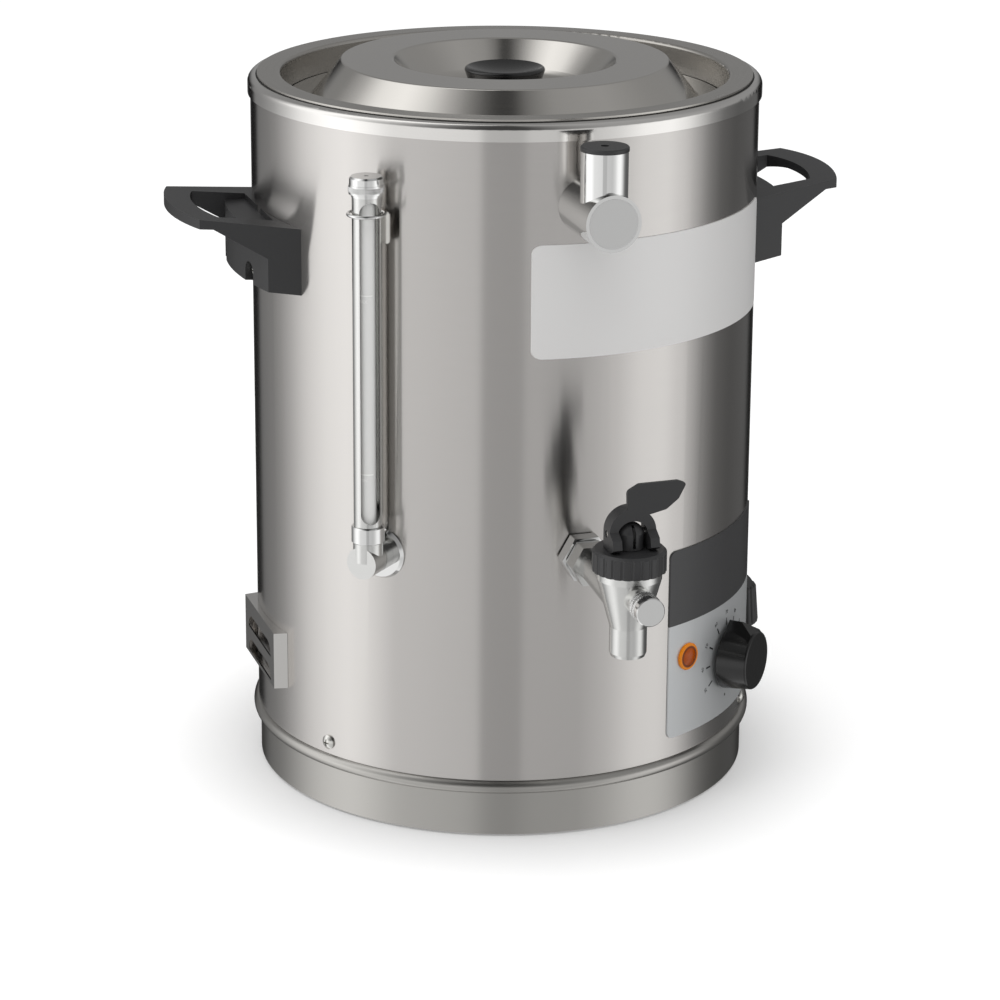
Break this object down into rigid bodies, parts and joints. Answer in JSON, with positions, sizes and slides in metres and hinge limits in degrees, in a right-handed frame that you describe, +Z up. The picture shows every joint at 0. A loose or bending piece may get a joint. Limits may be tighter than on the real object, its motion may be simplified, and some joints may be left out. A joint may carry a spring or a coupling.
{
  "type": "hot water urn",
  "caption": "Upright stainless hot water urn with lift-off domed lid, side handles, shielded sight gauge, top filler stub, lever tap and thermostat panel",
  "frame": {"origin": "on the body's vertical axis, at the table surface under the rubber feet", "axes": "+Z up, tap and filler point to -Y, handles along X, cable gland at the back towards +Y"},
  "size_m": [0.407, 0.4361, 0.4314],
  "materials": {
    "brushed_stainless": "brushed sheet",
    "polished_stainless": "polished sheet",
    "chrome_plate": "mirror plated",
    "satin_steel": "satin",
    "zinc_steel": "zinc plated",
    "black_plastic": "moulded satin",
    "gloss_black": "moulded gloss",
    "clear_glass": "drawn tube",
    "amber_lens": "translucent moulding",
    "black_rubber": "moulded",
    "clear_silicone": "moulded",
    "brass": "turned",
    "printed_aluminium": "anodised, printed",
    "white_ceramic": "glazed block"
  },
  "bodies": {
    "urn": {"outer_jacket": "brushed_stainless", "base_ring": "polished_stainless", "base_plate": "zinc_steel", "rubber_feet": "black_rubber", "base_screws": "zinc_steel", "top_collar": "polished_stainless", "pot_gasket": "black_rubber", "pot_neck": "satin_steel", "inner_pot": "satin_steel", "pot_base": "satin_steel", "vessel_floor": "satin_steel", "heating_element": "satin_steel", "element_glands": "brass", "thermal_cutout": "zinc_steel", "terminal_block": "white_ceramic", "handle_left": "black_plastic", "handle_right": "black_plastic", "handle_screws": "zinc_steel", "filler_stub": "chrome_plate", "filler_end_disc": "satin_steel", "gauge_elbow": "chrome_plate", "gauge_lock_nut": "brass", "gauge_rosette": "chrome_plate", "gauge_socket": "chrome_plate", "gauge_glass": "clear_glass", "gauge_shield": "chrome_plate", "gauge_seals": "clear_silicone", "gauge_clip": "chrome_plate", "gauge_bracket": "polished_stainless", "gauge_bracket_screw": "zinc_steel", "tap_body": "chrome_plate", "lock_nut_outer": "chrome_plate", "lock_nut_inner": "brass", "shank_seals": "black_rubber", "tap_bonnet": "black_plastic", "tap_spring": "satin_steel", "control_panel": "printed_aluminium", "thermostat_body": "zinc_steel", "thermostat_nut": "brass", "pilot_lens": "amber_lens", "lamp_body": "white_ceramic", "info_plate": "printed_aluminium", "vent_cover_left": "polished_stainless", "side_hood": "black_plastic", "cable_gland": "black_plastic"},
    "lid_set": {"lid": "satin_steel", "lid_knob": "black_plastic", "lid_knob_screw": "zinc_steel"},
    "filler_closure": {"filler_cap": "black_plastic"},
    "gauge_closure": {"gauge_cap": "chrome_plate"},
    "valve": {"valve_stem": "chrome_plate", "valve_seal": "clear_silicone", "stem_head": "black_plastic", "lever_pin": "polished_stainless"},
    "lever": {"tap_lever": "black_plastic"},
    "plug": {"cleaning_plug": "chrome_plate", "plug_ring": "black_rubber"},
    "dial": {"thermostat_knob": "gloss_black", "thermostat_shaft": "zinc_steel"}
  },
  "joints": [
    {"name": "lid_lift", "type": "slide", "parent": "urn", "child": "lid_set", "axis": [0, 0, 1], "range_m": [0, 0.06]},
    {"name": "filler_cap_lift", "type": "slide", "parent": "urn", "child": "filler_closure", "axis": [0, 0, 1], "range_m": [0, 0.02]},
    {"name": "gauge_cap_lift", "type": "slide", "parent": "urn", "child": "gauge_closure", "axis": [0, 0, 1], "range_m": [0, 0.015]},
    {"name": "stem_lift", "type": "slide", "parent": "urn", "child": "valve", "axis": [0, 0, 1], "range_m": [0, 0.00306], "deforming": ["tap_spring"]},
    {"name": "lever_pull", "type": "hinge", "parent": "valve", "child": "lever", "pos_m": [0, -0.2305, 0.212], "axis": [1, 0, 0], "range_deg": [0, 35], "stiffness_Nm_per_rad": 0.2, "springref_deg": -17.19},
    {"name": "thermostat_turn", "type": "hinge", "parent": "urn", "child": "dial", "pos_m": [0.10907, -0.10737, 0.0833], "axis": [0.7126, -0.7015, 0], "range_deg": [-120, 180]},
    {"name": "cleaning_plug_out", "type": "slide", "parent": "urn", "child": "plug", "axis": [0, -1, 0], "range_m": [0, 0.02]}
  ],
  "couplings": [
    {"joint": "stem_lift", "follows": "lever_pull", "m_per_rad": 0.005}
  ]
}
